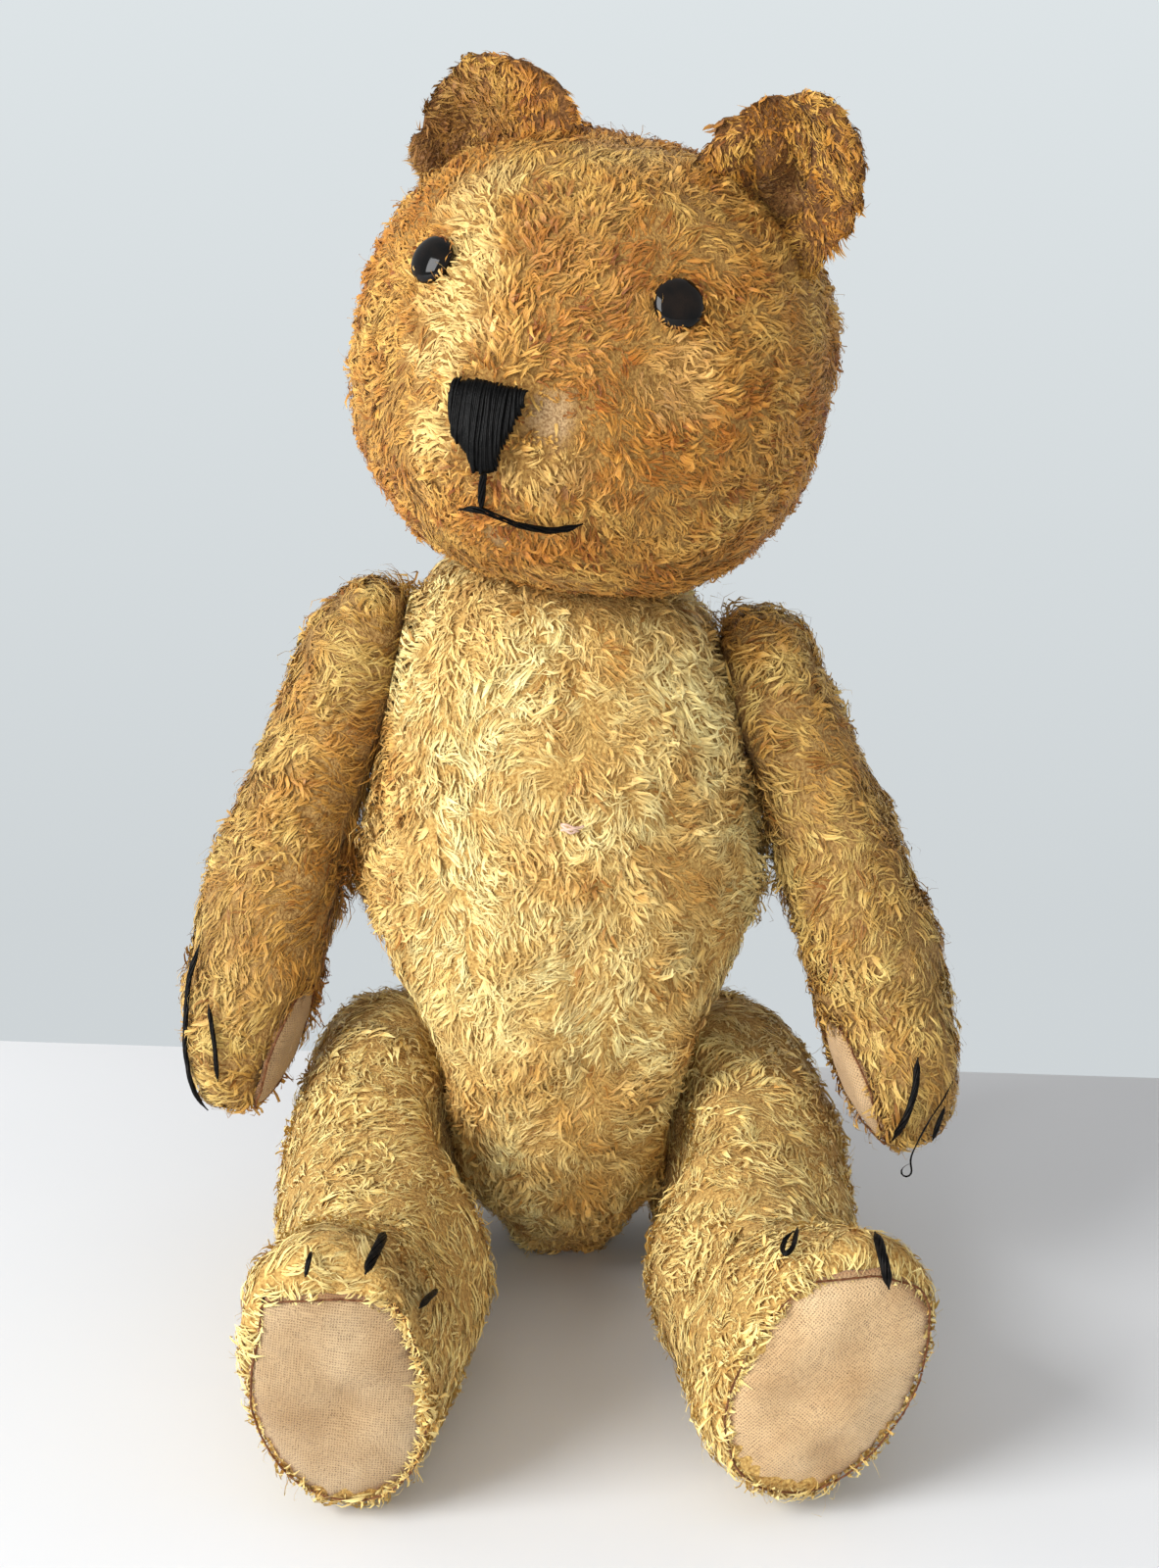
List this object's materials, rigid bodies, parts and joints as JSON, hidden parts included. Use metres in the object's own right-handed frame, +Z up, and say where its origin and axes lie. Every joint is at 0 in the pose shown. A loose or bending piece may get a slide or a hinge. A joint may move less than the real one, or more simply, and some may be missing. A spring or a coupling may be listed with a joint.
{
  "type": "jointed teddy bear",
  "caption": "Old gold plush teddy bear, sitting, with disc-jointed head, arms and legs that turn, stitched nose and mouth, cloth paw and sole pads and black thread claws.",
  "frame": {"origin": "middle of the flat seat the bear sits on, in the plane of the ground", "axes": "+Z up; the bear faces -Y; +X is the bear's own left side"},
  "size_m": [0.2603, 0.2558, 0.4083],
  "materials": {
    "gold_plush": "matted long pile, worn, dusty gold",
    "ear_plush": "worn pile, dark orange brown, soiled",
    "wood_wool": "packed dry shavings",
    "pad_cloth": "fine plain weave, pinkish beige, grubby",
    "hardboard": "plain brown board",
    "washer_steel": "dull steel",
    "black_thread": "black cotton floss, slightly waxy",
    "eye_black": "polished black dome"
  },
  "bodies": {
    "head": {"head_skin": "gold_plush", "head_stuffing": "wood_wool", "left_ear": "ear_plush", "left_eye": "eye_black", "lip_stitch": "black_thread", "mouth_stitch": "black_thread", "neck_limb_disc": "hardboard", "neck_limb_washer": "washer_steel", "neck_pin": "washer_steel", "nose_stitching": "black_thread", "right_ear": "ear_plush", "right_eye": "eye_black"},
    "left_arm": {"left_arm_skin": "gold_plush", "left_arm_stuffing": "wood_wool", "left_paw_claw_1": "black_thread", "left_paw_claw_2": "black_thread", "left_paw_pad": "pad_cloth", "left_shoulder_limb_disc": "hardboard", "left_shoulder_limb_washer": "washer_steel", "left_shoulder_pin": "washer_steel"},
    "left_leg": {"left_foot_claw_1": "black_thread", "left_foot_claw_2": "black_thread", "left_hip_limb_disc": "hardboard", "left_hip_limb_washer": "washer_steel", "left_hip_pin": "washer_steel", "left_leg_skin": "gold_plush", "left_leg_stuffing": "wood_wool", "left_sole_pad": "pad_cloth"},
    "right_arm": {"right_arm_skin": "gold_plush", "right_arm_stuffing": "wood_wool", "right_paw_claw_1": "black_thread", "right_paw_claw_2": "black_thread", "right_paw_pad": "pad_cloth", "right_shoulder_limb_disc": "hardboard", "right_shoulder_limb_washer": "washer_steel", "right_shoulder_pin": "washer_steel"},
    "right_leg": {"right_foot_claw_1": "black_thread", "right_foot_claw_2": "black_thread", "right_foot_claw_3": "black_thread", "right_hip_limb_disc": "hardboard", "right_hip_limb_washer": "washer_steel", "right_hip_pin": "washer_steel", "right_leg_skin": "gold_plush", "right_leg_stuffing": "wood_wool", "right_sole_pad": "pad_cloth"},
    "torso": {"left_hip_body_disc": "hardboard", "left_hip_body_washer": "washer_steel", "left_shoulder_body_disc": "hardboard", "left_shoulder_body_washer": "washer_steel", "neck_body_disc": "hardboard", "neck_body_washer": "washer_steel", "right_hip_body_disc": "hardboard", "right_hip_body_washer": "washer_steel", "right_shoulder_body_disc": "hardboard", "right_shoulder_body_washer": "washer_steel", "torso_skin": "gold_plush", "torso_stuffing": "wood_wool"}
  },
  "joints": [
    {"name": "neck_turn", "type": "hinge", "parent": "torso", "child": "head", "pos_m": [0.003, 0.002, 0.244], "axis": [0.165, 0, 0.9863], "continuous": true},
    {"name": "left_shoulder", "type": "hinge", "parent": "torso", "child": "left_arm", "pos_m": [0.0565, 0.003, 0.1975], "axis": [-0.9703, 0, -0.2419], "range_deg": [-120, 95]},
    {"name": "right_shoulder", "type": "hinge", "parent": "torso", "child": "right_arm", "pos_m": [-0.0545, 0.003, 0.207], "axis": [-0.9763, 0, 0.2164], "range_deg": [-120, 95]},
    {"name": "left_hip", "type": "hinge", "parent": "torso", "child": "left_leg", "pos_m": [0.0315, 0.002, 0.047], "axis": [-0.9823, -0.1556, 0.1045], "range_deg": [-90, 5]},
    {"name": "right_hip", "type": "hinge", "parent": "torso", "child": "right_leg", "pos_m": [-0.034, 0.002, 0.047], "axis": [-0.9951, 0.0696, -0.0698], "range_deg": [-90, 5]}
  ]
}
